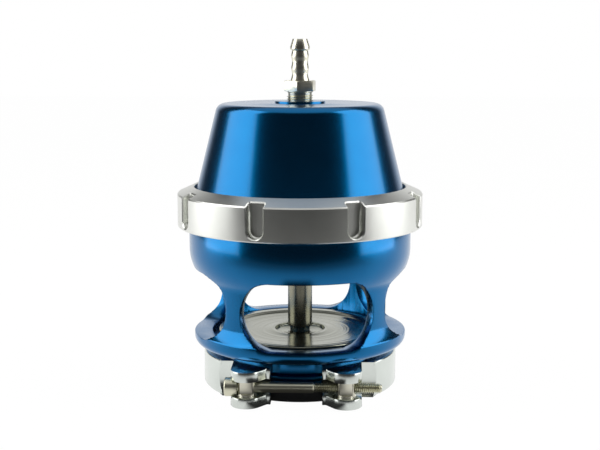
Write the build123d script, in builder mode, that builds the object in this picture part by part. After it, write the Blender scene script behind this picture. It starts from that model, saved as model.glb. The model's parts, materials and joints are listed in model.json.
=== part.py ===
from build123d import *
from math import asin, cos, degrees, radians, sin, sqrt, tan
import os

os.makedirs("parts", exist_ok=True)

# A poppet blow-off valve with a diaphragm top, held to its weld flange by a V-band clamp.
# The valve axis is Z, the weld face is z = 0 and the clamp screw crosses the front, at -Y.
# Clock angles turn from the front, -Y, towards +X. Lengths are millimetres.

# Weld flange and V joint
inlet_bore_r = 28.5
neck_wall = 1.9
lip_w = 1.8
lip_rim = 2.8
lip_slope = 20.0
weld_flange_h = 7.5
neck_h = 9.3
o_ring_wire_r = 0.7
o_ring_play = 0.05

# Valve disc and its seat
throat_step = 0.4
seat_w = 2.7
seat_contact = 1.4
seat_drop = 2.7
seat_gap = 0.1
disc_lap = 0.4
disc_t = 4.5
disc_edge = 0.8
disc_band_w = 3.6
disc_bevel_w = 1.8
disc_bevel_h = 0.55
disc_dish_h = 0.5
disc_pocket_w = 5.05
disc_pocket_floor = 2.9
disc_gap = 2.3

# Valve body
body_wall = 4.5
shoulder_w = 4.25
shoulder_turn = 36.0
hollow_arc_r = 4.7
hollow_drop = 5.45
skirt_w = 2.6
skirt_foot_w = 2.1
skirt_foot_h = 2.9
skirt_h = 4.4
flare_foot = 1.0
flare_h = 6.8
window_h = 25.4
window_half_angle = 39.5
window_count = 4
window_clock = 7.2
roof_gap = 1.4
web_t = 6.0
chamber_h = 16.0
thread_step = 0.45
rim_wall = 5.4
hub_wall = 4.5
hub_drop = 4.0
hub_rise = 7.0
vent_r = 2.0

# Stem and disc screw
stem_r = 4.7625
stem_undercut = 0.85
stem_foot_h = 1.8
stem_chamfer = 0.5
stem_shoulder = 1.75
stem_thread_end = 1.1
thread_play = 0.05
running_gap = 0.04
disc_screw_r = 3.0
disc_screw_grip = 12.0
disc_screw_tip_gap = 1.0
disc_screw_head_w = 2.25
disc_screw_head_h = 3.3
disc_screw_head_edge = 1.5
disc_screw_socket = 4.0

# Stem guide
bush_wall = 1.75
bush_inset = 0.5
seal_step = 1.0
seal_h = 2.5
seal_clear = 0.3
seal_inset = 2.5
circlip_t = 1.0
circlip_wire = 2.2
circlip_bite = 0.6
circlip_play = 0.05
circlip_gap_angle = 50.0

# Diaphragm, plates and springs
diaphragm_rim_t = 2.0
diaphragm_web_t = 1.5
diaphragm_fold_gap = 1.6
diaphragm_fold_w = 4.6
diaphragm_lap = 1.0
plate_t = 2.0
cup_step = 1.0
cup_wall = 1.6
cup_h = 4.5
washer_w = 5.0
washer_t = 1.0
nut_wall = 2.0
nut_h = 5.0
outer_spring_room = 4.1
outer_wire_r = 1.3
outer_turns = 4
inner_spring_room = 5.0
inner_wire_r = 1.0
inner_turns = 5

# Cap
cap_flange_t = 3.0
cap_flange_gap = 0.3
cap_flange_w = 1.9
cap_h = 37.6
cap_taper = 14.1
cap_wall = 4.0
cap_roof = 4.2
cap_edge_r = 3.5
boss_wall = 4.6
boss_h = 0.9
port_boss_wall = 3.85
port_boss_drop = 4.2

# Collar ring
collar_wall = 4.7
collar_drop = 7.3
collar_foot_gap = 0.1
collar_lip_t = 3.1
collar_lip_gap = 0.5
collar_crown_w = 0.4
collar_crown_drop = 2.75
collar_edge = 0.5
collar_thread_gap = 0.1
notch_count = 8
notch_clock = 27.2
notch_w = 6.35
notch_depth = 3.3
notch_foot = 1.1

# Hose fitting
fitting_thread_r = 5.12
fitting_play = 0.03
fitting_stub_h = 7.9
fitting_shown_h = 3.7
hex_step = 0.43
hex_h = 4.0
hex_chamfer = 0.5
hex_clock = -7.3
fitting_bore_r = 2.2
barb_wall = 0.85
barb_wave = 0.33
barb_flare = 0.55
barb_rise = 0.7
barb_pitch = 4.7
barb_crest_h = 1.0
barb_tip_wall = 0.65
barb_tip_h = 3.0

# Clamp halves and hinge
clamp_h = 13.7
clamp_wall = 5.25
clamp_bore_gap = 0.6
clamp_groove_gap = 0.35
clamp_v_gap = 0.2
clamp_edge = 0.8
clamp_split = 0.8
ear_x = 18.3
ear_wall = 2.2
ear_slot_h = 6.0
ear_slot_room = 0.3
ear_root_w = 8.8
root_r = 2.6
relief_r = 12.6
hinge_rise = 3.7
knuckle_wall = 2.1
knuckle_gap = 0.15
knuckle_room = 0.3
hinge_pin_r = 2.5
hinge_pin_head_w = 0.9
hinge_pin_head_h = 0.8

# Clamp barrels and screw
barrel_wall = 1.48
barrel_play = 0.06
barrel_inset = 0.7
barrel_cover = 1.7
barrel_flat = 0.85
barrel_step_h = 0.9
barrel_spot = 0.3
barrel_edge = 0.3
screw_r = 2.05
screw_play = 0.07
screw_lip_gap = 1.75
screw_head_w = 1.45
screw_head_h = 4.8
screw_head_gap = 0.05
screw_head_room = 0.6
screw_socket = 3.0
screw_socket_depth = 2.4
screw_edge = 0.4
screw_plain = 28.1
screw_tail = 9.5
screw_thread_drop = 0.05

# Levels, from the weld face upwards
joint_z = weld_flange_h
skirt_z = joint_z + neck_h
sill_z = skirt_z + skirt_h
window_r = window_h / 2
window_z = sill_z + window_r
window_top_z = sill_z + window_h
roof_z = window_top_z + roof_gap
web_top_z = roof_z + web_t
rim_z = web_top_z + chamber_h
cap_z = rim_z + diaphragm_rim_t
lip_seat_z = cap_z + cap_flange_t
cap_top_z = cap_z + cap_h
cap_ceiling_z = cap_top_z - cap_roof
port_foot_z = cap_ceiling_z - port_boss_drop
boss_top_z = cap_top_z + boss_h
clamp_z = joint_z - clamp_h / 2
clamp_top_z = clamp_z + clamp_h
ledge_z = sill_z - seat_drop
disc_z = ledge_z - seat_contact + seat_gap
disc_top_z = disc_z + disc_t
stem_foot_z = disc_z + disc_pocket_floor
hub_foot_z = roof_z - hub_drop
hub_top_z = web_top_z + hub_rise
seal_z = hub_top_z - seal_inset - seal_h
plate_z = cap_z
diaphragm_web_z = plate_z + plate_t
cup_z = diaphragm_web_z + diaphragm_web_t
cup_floor_z = cup_z + plate_t
nut_z = cup_floor_z + washer_t
stem_top_z = nut_z + nut_h + stem_thread_end

# Radii of the V joint and the body, from the inlet bore outwards
neck_r = inlet_bore_r + neck_wall
lip_r = neck_r + lip_w
lip_drop = lip_rim + lip_w * tan(radians(lip_slope))
throat_r = inlet_bore_r + throat_step
seat_r = throat_r + seat_w
disc_r = seat_r + disc_lap
disc_underside_r = seat_r - seat_contact
body_bore_r = disc_r + disc_gap
waist_r = body_bore_r + body_wall
skirt_r = waist_r + skirt_w
skirt_foot_r = skirt_r - skirt_foot_w
shoulder_r = waist_r + shoulder_w
body_thread_r = shoulder_r - thread_step
chamber_r = body_thread_r - rim_wall

# Radii round the stem
disc_pocket_r = stem_r + disc_pocket_w
stem_foot_r = stem_r - stem_undercut
stem_thread_r = stem_r - stem_shoulder
disc_screw_head_r = disc_screw_r + disc_screw_head_w
bush_r = stem_r + bush_wall
seal_r = bush_r + seal_step
hub_r = seal_r + hub_wall
vent_ring_r = (hub_r + body_bore_r) / 2
washer_r = stem_thread_r + washer_w

# Radii of the diaphragm, the springs, the cap and its collar
diaphragm_fold_r = chamber_r - diaphragm_fold_gap
diaphragm_web_r = diaphragm_fold_r - diaphragm_fold_w
plate_r = diaphragm_web_r - diaphragm_lap
cup_r = plate_r - cup_step
outer_spring_r = cup_r - cup_wall - outer_wire_r - outer_spring_room
inner_spring_r = washer_r + inner_wire_r + inner_spring_room
cap_flange_r = body_thread_r - cap_flange_gap
cap_foot_r = cap_flange_r - cap_flange_w
port_r = fitting_thread_r + fitting_play
boss_r = port_r + boss_wall
port_boss_r = port_r + port_boss_wall
collar_thread_r = body_thread_r + collar_thread_gap
collar_r = collar_thread_r + collar_wall
collar_lip_r = cap_foot_r + collar_lip_gap

# Radii of the hose fitting
hex_across_flats = 2 * (fitting_thread_r + hex_step)
barb_neck_r = fitting_bore_r + barb_wall
barb_bulge_r = barb_neck_r + barb_wave
barb_foot_r = barb_neck_r + barb_flare
barb_crest_r = barb_neck_r + barb_rise
barb_tip_r = fitting_bore_r + barb_tip_wall

# Radii and places of the clamp, its screw and its hinge
clamp_bore_r = neck_r + clamp_bore_gap
groove_floor_r = lip_r + clamp_groove_gap
clamp_r = groove_floor_r + clamp_wall
screw_thread_r = screw_r - screw_thread_drop
screw_head_r = screw_r + screw_head_w
barrel_r = screw_r + screw_play + barrel_wall
ear_r = barrel_r + ear_wall
ear_y = lip_r + screw_lip_gap + screw_r
ear_inner_x = ear_x - ear_root_w
knuckle_r = hinge_pin_r + knuckle_wall
hinge_pin_head_r = hinge_pin_r + hinge_pin_head_w
hinge_y = clamp_r + hinge_rise


def clock_plane(angle, height, distance=0.0):
    """Upright plane facing outwards at a clock angle, at a distance from the axis."""
    across = (cos(radians(angle)), sin(radians(angle)), 0)
    outwards = (sin(radians(angle)), -cos(radians(angle)), 0)
    origin = (outwards[0] * distance, outwards[1] * distance, height)
    return Plane(origin=origin, x_dir=across, z_dir=outwards)


def turned(*points):
    """Closed face of straight runs, given as radius and height, in the open sketch."""
    Polygon(*points, align=None)


def edge_circles(part, radius, height):
    """Circular edges of a turned part at one radius and height."""
    circles = part.edges().filter_by(GeomType.CIRCLE)
    return circles.filter_by(
        lambda e: abs(e.radius - radius) < 0.01 and abs(e.arc_center.Z - height) < 0.01
    )


# Weld flange: plain neck, V lip and a face groove for the seal
groove_r = (inlet_bore_r + lip_r) / 2
groove_depth = 2 * o_ring_wire_r + o_ring_play
with BuildPart() as weld_flange:
    with BuildSketch(Plane.XZ):
        turned(
            (inlet_bore_r, 0),
            (neck_r, 0),
            (neck_r, joint_z - lip_drop),
            (lip_r, joint_z - lip_rim),
            (lip_r, joint_z),
            (inlet_bore_r, joint_z),
        )
        with Locations((groove_r, joint_z)):
            Rectangle(2 * (o_ring_wire_r + o_ring_play), 2 * groove_depth, mode=Mode.SUBTRACT)
    revolve(axis=Axis.Z)

with BuildPart() as flange_o_ring:
    with BuildSketch(Plane.XZ):
        with Locations((groove_r, joint_z - groove_depth + o_ring_wire_r)):
            Circle(o_ring_wire_r)
    revolve(axis=Axis.Z)

# Valve body: turned outside and inside, then four milled windows and the web's vents
shoulder_arc_r = (shoulder_r - waist_r) / (1 - cos(radians(shoulder_turn))) - hollow_arc_r
bush_top_z = seal_z
circlip_z = seal_z + seal_h + circlip_play
circlip_r = seal_r + circlip_bite
cutter_turn = window_half_angle - degrees(asin(window_r / waist_r))
with BuildPart() as valve_body:
    with BuildSketch(Plane.XZ):
        with BuildLine():
            Polyline(
                (skirt_foot_r, skirt_z),
                (neck_r, skirt_z),
                (neck_r, joint_z + lip_drop),
                (lip_r, joint_z + lip_rim),
                (lip_r, joint_z),
                (throat_r, joint_z),
                (throat_r, ledge_z - (seat_r - throat_r)),
                (seat_r, ledge_z),
                (body_bore_r, ledge_z),
                (body_bore_r, roof_z),
                (hub_r, roof_z),
                (hub_r, hub_foot_z),
                (bush_r, hub_foot_z),
                (bush_r, bush_top_z),
                (seal_r, bush_top_z),
                (seal_r, hub_top_z),
                (hub_r, hub_top_z),
                (hub_r, web_top_z),
                (chamber_r, web_top_z),
                (chamber_r, rim_z),
                (body_thread_r, rim_z),
                (body_thread_r, rim_z - collar_drop - collar_foot_gap),
                (shoulder_r, rim_z - collar_drop - collar_foot_gap),
            )
            foot_arc = TangentArc(
                (skirt_r, skirt_z + skirt_foot_h), (skirt_foot_r, skirt_z), tangent=(0, -1)
            )
            flare = TangentArc(
                (waist_r, sill_z + flare_h), (skirt_r, sill_z + flare_foot), tangent=(0, -1)
            )
            Line(flare @ 1, foot_arc @ 0)
            waist = Line(flare @ 0, (waist_r, window_top_z - hollow_drop))
            hollow = JernArc(waist @ 1, (0, 1), hollow_arc_r, -shoulder_turn)
            shoulder = JernArc(hollow @ 1, hollow % 1, shoulder_arc_r, shoulder_turn)
            Line(shoulder @ 1, (shoulder_r, rim_z - collar_drop - collar_foot_gap))
        make_face()
        with Locations((seal_r, circlip_z - circlip_play)):
            Rectangle(
                circlip_bite + circlip_play,
                circlip_t + 2 * circlip_play,
                align=(Align.MIN, Align.MIN),
                mode=Mode.SUBTRACT,
            )
    revolve(axis=Axis.Z)
    for k in range(window_count):
        middle = window_clock + k * 360 / window_count
        for side in (-1, 1):
            with BuildSketch(clock_plane(middle + side * cutter_turn, window_z, hub_r)):
                Circle(window_r)
            extrude(amount=shoulder_r, mode=Mode.SUBTRACT)
        near = hub_r + stem_r
        spread = radians(cutter_turn)
        with BuildSketch(Plane.XY.offset(sill_z).rotated((0, 0, middle))):
            with BuildLine():
                Polyline(
                    (-near * sin(spread), -near * cos(spread)),
                    (-2 * waist_r * sin(spread), -2 * waist_r * cos(spread)),
                    (2 * waist_r * sin(spread), -2 * waist_r * cos(spread)),
                    (near * sin(spread), -near * cos(spread)),
                    close=True,
                )
            make_face()
        extrude(amount=window_h, mode=Mode.SUBTRACT)
    with BuildSketch(Plane.XY.offset(roof_z)):
        with PolarLocations(vent_ring_r, window_count, start_angle=window_clock):
            Circle(vent_r)
    extrude(amount=web_t, mode=Mode.SUBTRACT)

# Stem guide: bush pressed in the hub, seal above it and the clip that keeps the seal
with BuildPart() as stem_guide_bush:
    with BuildSketch(Plane.XY.offset(hub_foot_z + bush_inset)):
        Circle(bush_r)
        Circle(stem_r + running_gap, mode=Mode.SUBTRACT)
    extrude(amount=bush_top_z - hub_foot_z - bush_inset)

with BuildPart() as stem_seal:
    with BuildSketch(Plane.XY.offset(seal_z)):
        Circle(seal_r)
        Circle(stem_r + seal_clear, mode=Mode.SUBTRACT)
    extrude(amount=seal_h)
    chamfer(edge_circles(stem_seal, stem_r + seal_clear, seal_z + seal_h), seal_clear)

with BuildPart() as seal_circlip:
    with BuildSketch(Plane.XY.offset(circlip_z)):
        Circle(circlip_r)
        Circle(circlip_r - circlip_wire, mode=Mode.SUBTRACT)
        with BuildLine():
            half_gap = radians(circlip_gap_angle / 2)
            Polyline(
                (0, 0),
                (2 * circlip_r * sin(half_gap), -2 * circlip_r * cos(half_gap)),
                (-2 * circlip_r * sin(half_gap), -2 * circlip_r * cos(half_gap)),
                close=True,
            )
        make_face(mode=Mode.SUBTRACT)
    extrude(amount=circlip_t)

# Valve disc: seat cone below, rolled rim and shallow dish above, pocket for the stem's foot
dish_z = disc_top_z - disc_bevel_h
with BuildPart() as valve_disc:
    with BuildSketch(Plane.XZ):
        with BuildLine():
            Polyline(
                (disc_r - disc_edge, disc_top_z),
                (disc_r - disc_band_w, disc_top_z),
                (disc_r - disc_band_w - disc_bevel_w, dish_z),
            )
            ThreePointArc(
                (disc_r - disc_band_w - disc_bevel_w, dish_z),
                ((disc_r + disc_pocket_r) / 2, dish_z - disc_dish_h),
                (disc_pocket_r, dish_z),
            )
            Polyline(
                (disc_pocket_r, dish_z),
                (disc_pocket_r, stem_foot_z),
                (disc_screw_r + thread_play, stem_foot_z),
                (disc_screw_r + thread_play, disc_z),
                (disc_underside_r, disc_z),
                (disc_r, disc_z + disc_r - disc_underside_r),
                (disc_r, disc_top_z - disc_edge),
            )
            TangentArc(
                (disc_r, disc_top_z - disc_edge), (disc_r - disc_edge, disc_top_z), tangent=(0, 1)
            )
        make_face()
    revolve(axis=Axis.Z)

# Stem: undercut foot on the disc, thread above the shoulder, tapped hole below
with BuildPart() as valve_stem:
    with BuildSketch(Plane.XZ):
        turned(
            (0, stem_foot_z + disc_screw_grip),
            (disc_screw_r + thread_play, stem_foot_z + disc_screw_grip),
            (disc_screw_r + thread_play, stem_foot_z),
            (stem_foot_r, stem_foot_z),
            (stem_foot_r, stem_foot_z + stem_foot_h),
            (stem_r - stem_chamfer, stem_foot_z + stem_foot_h),
            (stem_r, stem_foot_z + stem_foot_h + stem_chamfer),
            (stem_r, plate_z),
            (stem_thread_r, plate_z),
            (stem_thread_r, stem_top_z - stem_chamfer),
            (stem_thread_r - stem_chamfer, stem_top_z),
            (0, stem_top_z),
        )
    revolve(axis=Axis.Z)

with BuildPart() as disc_screw:
    with BuildSketch(Plane.XY.offset(disc_z - disc_screw_head_h)):
        Circle(disc_screw_head_r)
    extrude(amount=disc_screw_head_h)
    fillet(
        edge_circles(disc_screw, disc_screw_head_r, disc_z - disc_screw_head_h),
        disc_screw_head_edge,
    )
    with BuildSketch(Plane.XY.offset(disc_z)):
        Circle(disc_screw_r)
    extrude(amount=stem_foot_z - disc_z + disc_screw_grip - disc_screw_tip_gap)
    with BuildSketch(Plane.XY.offset(disc_z - disc_screw_head_h)):
        RegularPolygon(disc_screw_socket / 2, 6, major_radius=False)
    extrude(amount=disc_screw_head_h / 2, mode=Mode.SUBTRACT)

# Diaphragm: rim clamped under the cap, one rising fold, web held between the plates
with BuildPart() as diaphragm:
    with BuildSketch(Plane.XZ):
        turned(
            (body_thread_r - cap_flange_gap, rim_z),
            (body_thread_r - cap_flange_gap, cap_z),
            (diaphragm_fold_r, cap_z),
            (diaphragm_web_r, cup_z),
            (stem_thread_r + thread_play, cup_z),
            (stem_thread_r + thread_play, diaphragm_web_z),
            (diaphragm_web_r, diaphragm_web_z),
            (diaphragm_fold_r, rim_z),
        )
    revolve(axis=Axis.Z)

with BuildPart() as diaphragm_plate:
    with BuildSketch(Plane.XY.offset(plate_z)):
        Circle(plate_r)
        Circle(stem_thread_r + thread_play, mode=Mode.SUBTRACT)
    extrude(amount=plate_t)
    fillet(edge_circles(diaphragm_plate, plate_r, plate_z), plate_t / 2)

with BuildPart() as spring_cup:
    with BuildSketch(Plane.XZ):
        turned(
            (stem_thread_r + thread_play, cup_z),
            (cup_r, cup_z),
            (cup_r, cup_z + cup_h),
            (cup_r - cup_wall, cup_z + cup_h),
            (cup_r - cup_wall, cup_floor_z),
            (stem_thread_r + thread_play, cup_floor_z),
        )
    revolve(axis=Axis.Z)
    fillet(edge_circles(spring_cup, cup_r, cup_z), cup_wall / 2)

with BuildPart() as plate_washer:
    with BuildSketch(Plane.XY.offset(cup_floor_z)):
        Circle(washer_r)
        Circle(stem_thread_r + thread_play, mode=Mode.SUBTRACT)
    extrude(amount=washer_t)

with BuildPart() as stem_nut:
    with BuildSketch(Plane.XY.offset(nut_z)):
        RegularPolygon(stem_thread_r + nut_wall, 6, major_radius=False)
        Circle(stem_thread_r + thread_play, mode=Mode.SUBTRACT)
    extrude(amount=nut_h)

# Springs: round wire coils with ground ends, between the cup's floor and the cap's ceiling
spring_h = cap_ceiling_z - cup_floor_z
with BuildPart() as outer_spring:
    with BuildLine() as outer_coil:
        Helix(spring_h / outer_turns, spring_h, outer_spring_r, center=(0, 0, cup_floor_z))
    with BuildSketch(Plane(origin=outer_coil.line @ 0, z_dir=outer_coil.line % 0)):
        Circle(outer_wire_r)
    sweep()
    split(bisect_by=Plane.XY.offset(cup_floor_z), keep=Keep.TOP)
    split(bisect_by=Plane.XY.offset(cap_ceiling_z), keep=Keep.BOTTOM)

with BuildPart() as inner_spring:
    with BuildLine() as inner_coil:
        Helix(spring_h / inner_turns, spring_h, inner_spring_r, center=(0, 0, cup_floor_z))
    with BuildSketch(Plane(origin=inner_coil.line @ 0, z_dir=inner_coil.line % 0)):
        Circle(inner_wire_r)
    sweep()
    split(bisect_by=Plane.XY.offset(cup_floor_z), keep=Keep.TOP)
    split(bisect_by=Plane.XY.offset(cap_ceiling_z), keep=Keep.BOTTOM)

# Cap: tapered spring housing with a clamping flange and a threaded port
cap_slope = tan(radians(cap_taper))
cap_head_r = cap_foot_r - (cap_top_z - lip_seat_z) * cap_slope
with BuildPart() as cap:
    with BuildSketch(Plane.XZ):
        turned(
            (cap_flange_r, cap_z),
            (cap_flange_r, lip_seat_z),
            (cap_foot_r, lip_seat_z),
            (cap_head_r, cap_top_z),
            (boss_r, cap_top_z),
            (boss_r, boss_top_z),
            (port_r, boss_top_z),
            (port_r, port_foot_z),
            (port_boss_r, port_foot_z),
            (port_boss_r, cap_ceiling_z),
            (cap_head_r + cap_roof * cap_slope - cap_wall, cap_ceiling_z),
            (cap_foot_r + cap_flange_t * cap_slope - cap_wall, cap_z),
        )
    revolve(axis=Axis.Z)
    fillet(edge_circles(cap, cap_head_r, cap_top_z), cap_edge_r)

# Collar ring: threads on the body's rim, its lip holds the cap's flange down
collar_foot_z = rim_z - collar_drop
collar_top_z = lip_seat_z + collar_lip_t
notch_z = collar_foot_z + notch_foot + notch_w / 2
with BuildPart() as collar_ring:
    with BuildSketch(Plane.XZ):
        turned(
            (collar_thread_r, collar_foot_z),
            (collar_r - collar_edge, collar_foot_z),
            (collar_r, collar_foot_z + collar_edge),
            (collar_r, collar_top_z - collar_crown_drop - collar_edge),
            (collar_r - collar_edge, collar_top_z - collar_crown_drop),
            (collar_lip_r + collar_crown_w, collar_top_z),
            (collar_lip_r, collar_top_z),
            (collar_lip_r, lip_seat_z),
            (collar_thread_r, lip_seat_z),
        )
    revolve(axis=Axis.Z)
    for k in range(notch_count):
        angle = notch_clock + k * 360 / notch_count
        with BuildSketch(clock_plane(angle, notch_z, collar_r - notch_depth)):
            Circle(notch_w / 2)
            Rectangle(notch_w, 2 * notch_w + collar_drop, align=(Align.CENTER, Align.MIN))
        extrude(amount=2 * notch_depth, mode=Mode.SUBTRACT)

# Hose fitting: hexagon first, then the turned stub, thread and barb
fitting_foot_z = boss_top_z - fitting_stub_h
hex_z = boss_top_z + fitting_shown_h
hex_top_z = hex_z + hex_h
hex_corner_r = hex_across_flats / sqrt(3)
crest_z = hex_top_z + 2.5 * barb_pitch
with BuildPart() as hose_fitting:
    with BuildSketch(Plane.XY.offset(hex_z).rotated((0, 0, hex_clock))):
        RegularPolygon(hex_across_flats / 2, 6, major_radius=False, rotation=30)
    extrude(amount=hex_h)
    with BuildSketch(Plane.XZ):
        turned(
            (0, hex_z),
            (hex_corner_r - hex_chamfer, hex_z),
            (hex_corner_r, hex_z + hex_chamfer / 2),
            (hex_corner_r, hex_top_z - hex_chamfer / 2),
            (hex_corner_r - hex_chamfer, hex_top_z),
            (0, hex_top_z),
        )
    revolve(axis=Axis.Z, mode=Mode.INTERSECT)
    with BuildSketch(Plane.XY.offset(fitting_foot_z)):
        Circle(fitting_thread_r)
    extrude(amount=hex_z - fitting_foot_z)
    with BuildSketch(Plane.XZ):
        with BuildLine():
            Polyline(
                (barb_neck_r, crest_z - barb_pitch / 10),
                (barb_crest_r, crest_z),
                (barb_crest_r, crest_z + barb_crest_h),
                (barb_tip_r, crest_z + barb_crest_h + barb_tip_h),
                (0, crest_z + barb_crest_h + barb_tip_h),
                (0, hex_top_z),
                (barb_foot_r, hex_top_z),
            )
            Spline(
                (barb_foot_r, hex_top_z),
                (barb_neck_r, hex_top_z + barb_pitch / 2),
                (barb_bulge_r, hex_top_z + barb_pitch),
                (barb_neck_r, hex_top_z + 1.5 * barb_pitch),
                (barb_bulge_r, hex_top_z + 2 * barb_pitch),
                (barb_neck_r, crest_z - barb_pitch / 10),
            )
        make_face()
    revolve(axis=Axis.Z)
    with BuildSketch(Plane.XY.offset(fitting_foot_z)):
        Circle(fitting_bore_r)
    extrude(amount=crest_z + barb_crest_h + barb_tip_h - fitting_foot_z, mode=Mode.SUBTRACT)

# Clamp halves: V-grooved bands with forked ears in front and hinge knuckles behind
slot_z = joint_z - ear_slot_h / 2
groove_half = lip_rim + clamp_v_gap
mouth_half = groove_half + (lip_r - clamp_bore_r) * tan(radians(lip_slope))
root_ring_r = clamp_r - root_r
knuckle_h = clamp_h / 3
slot_back_y = -ear_y + barrel_r + barrel_play + ear_slot_room
head_seat_x = ear_x + barrel_r - barrel_spot


def screw_plane(x):
    """Plane across the clamp screw's axis, facing +X."""
    return Plane(origin=(x, -ear_y, joint_z), x_dir=(0, 1, 0), z_dir=(1, 0, 0))


def on_root_ring(x, front):
    """Point in the middle of the band's wall, where an ear or knuckle grows from it."""
    return (x, front * sqrt(root_ring_r**2 - x**2))


def clamp_half(side, own_thirds, pin_hole_r):
    """One half, side -1 left or 1 right, with hinge knuckles in its own thirds of the height."""
    with BuildPart() as half:
        with BuildSketch(Plane.XZ):
            turned(
                (0, clamp_z),
                (clamp_r - clamp_edge, clamp_z),
                (clamp_r, clamp_z + clamp_edge),
                (clamp_r, clamp_top_z - clamp_edge / 2),
                (clamp_r - clamp_edge / 2, clamp_top_z),
                (0, clamp_top_z),
            )
        revolve(axis=Axis.Z)
        with BuildSketch(Plane.XY.offset(clamp_z)):
            with Locations((side * ear_x, -ear_y)):
                Circle(ear_r)
            with Locations(
                on_root_ring(side * (ear_inner_x + root_r), -1),
                on_root_ring(side * (ear_x + ear_r + root_r), -1),
            ):
                Circle(root_r)
            make_hull()
        extrude(amount=clamp_h)
        with BuildSketch(Plane.XY.offset(clamp_z)):
            with Locations((side * (clamp_r + clamp_split / 2), clamp_r)):
                Rectangle(2 * clamp_r, 2 * clamp_r)
            with Locations((side * (clamp_r + ear_inner_x), -clamp_r)):
                Rectangle(2 * clamp_r, 2 * clamp_r)
        extrude(amount=clamp_h, mode=Mode.INTERSECT)
        for third in range(3):
            third_z = clamp_z + third * knuckle_h
            if third in own_thirds:
                with BuildSketch(Plane.XY.offset(third_z + knuckle_gap)):
                    with Locations((0, hinge_y)):
                        Circle(knuckle_r)
                    with Locations(on_root_ring(side * knuckle_r * 2, 1)):
                        Circle(root_r)
                    make_hull()
                    with Locations((side * (clamp_split / 2 - 2 * knuckle_r), hinge_y)):
                        Rectangle(4 * knuckle_r, 4 * knuckle_r, mode=Mode.SUBTRACT)
                    with Locations((0, hinge_y)):
                        Circle(knuckle_r)
                extrude(amount=knuckle_h - 2 * knuckle_gap)
            else:
                with BuildSketch(Plane.XY.offset(third_z)):
                    with Locations((0, hinge_y)):
                        Circle(knuckle_r + knuckle_room)
                extrude(amount=knuckle_h, mode=Mode.SUBTRACT)
        with BuildSketch(Plane.XZ):
            turned(
                (0, clamp_z),
                (clamp_bore_r, clamp_z),
                (clamp_bore_r, joint_z - mouth_half),
                (groove_floor_r, joint_z - groove_half),
                (groove_floor_r, joint_z + groove_half),
                (clamp_bore_r, joint_z + mouth_half),
                (clamp_bore_r, clamp_top_z),
                (0, clamp_top_z),
            )
        revolve(axis=Axis.Z, mode=Mode.SUBTRACT)
        with BuildSketch(Plane.XY.offset(slot_z)):
            with Locations((side * ear_x, slot_back_y)):
                Rectangle(4 * ear_r, 3 * ear_r, align=(Align.CENTER, Align.MAX))
        extrude(amount=ear_slot_h, mode=Mode.SUBTRACT)
        with BuildSketch(Plane.XY.offset(clamp_z)):
            with Locations((side * ear_x, -ear_y)):
                Circle(barrel_r + barrel_play)
        extrude(amount=clamp_h - barrel_cover, mode=Mode.SUBTRACT)
        with BuildSketch(screw_plane(side * (ear_x + ear_r))):
            Circle(relief_r)
        extrude(amount=side * clamp_r, mode=Mode.SUBTRACT)
        with BuildSketch(screw_plane(side * head_seat_x)):
            Circle(screw_head_r + screw_head_room)
        extrude(amount=side * ear_r, mode=Mode.SUBTRACT)
        with BuildSketch(Plane.XY.offset(clamp_z)):
            with Locations((0, hinge_y)):
                Circle(pin_hole_r)
        extrude(amount=clamp_h, mode=Mode.SUBTRACT)
    return half


clamp_half_left = clamp_half(-1, (1,), hinge_pin_r + running_gap)
clamp_half_right = clamp_half(1, (0, 2), hinge_pin_r)

with BuildPart() as hinge_pin:
    with BuildSketch(Plane.XY.offset(clamp_z)):
        with Locations((0, hinge_y)):
            Circle(hinge_pin_r)
    extrude(amount=clamp_h)
    with BuildSketch(Plane.XY.offset(clamp_top_z)):
        with Locations((0, hinge_y)):
            Circle(hinge_pin_head_r)
    extrude(amount=hinge_pin_head_h)
    fillet(
        edge_circles(hinge_pin, hinge_pin_head_r, clamp_top_z + hinge_pin_head_h),
        hinge_pin_head_h / 2,
    )


def cross_barrel(x, spot_face):
    """Barrel across an ear's fork, flat in front, bored for the screw."""
    barrel_h = clamp_h - barrel_cover - barrel_inset
    with BuildPart() as barrel:
        with BuildSketch(Plane.XY.offset(clamp_z + barrel_inset)):
            with Locations((x, -ear_y)):
                Circle(barrel_r)
        extrude(amount=barrel_h)
        chamfer(barrel.edges().filter_by(GeomType.CIRCLE), barrel_edge)
        with BuildSketch(Plane.XY.offset(slot_z + barrel_step_h)):
            with Locations((x, -ear_y - barrel_r + barrel_flat)):
                Rectangle(2 * barrel_r, barrel_r, align=(Align.CENTER, Align.MAX))
        extrude(amount=ear_slot_h - barrel_step_h, mode=Mode.SUBTRACT)
        if spot_face:
            with BuildSketch(screw_plane(-head_seat_x)):
                Circle(screw_head_r + screw_head_room)
            extrude(amount=-barrel_r, mode=Mode.SUBTRACT)
        with BuildSketch(screw_plane(x - barrel_r)):
            Circle(screw_r + screw_play)
        extrude(amount=2 * barrel_r, mode=Mode.SUBTRACT)
    return barrel


plain_barrel = cross_barrel(-ear_x, True)
threaded_barrel = cross_barrel(ear_x, False)

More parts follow.
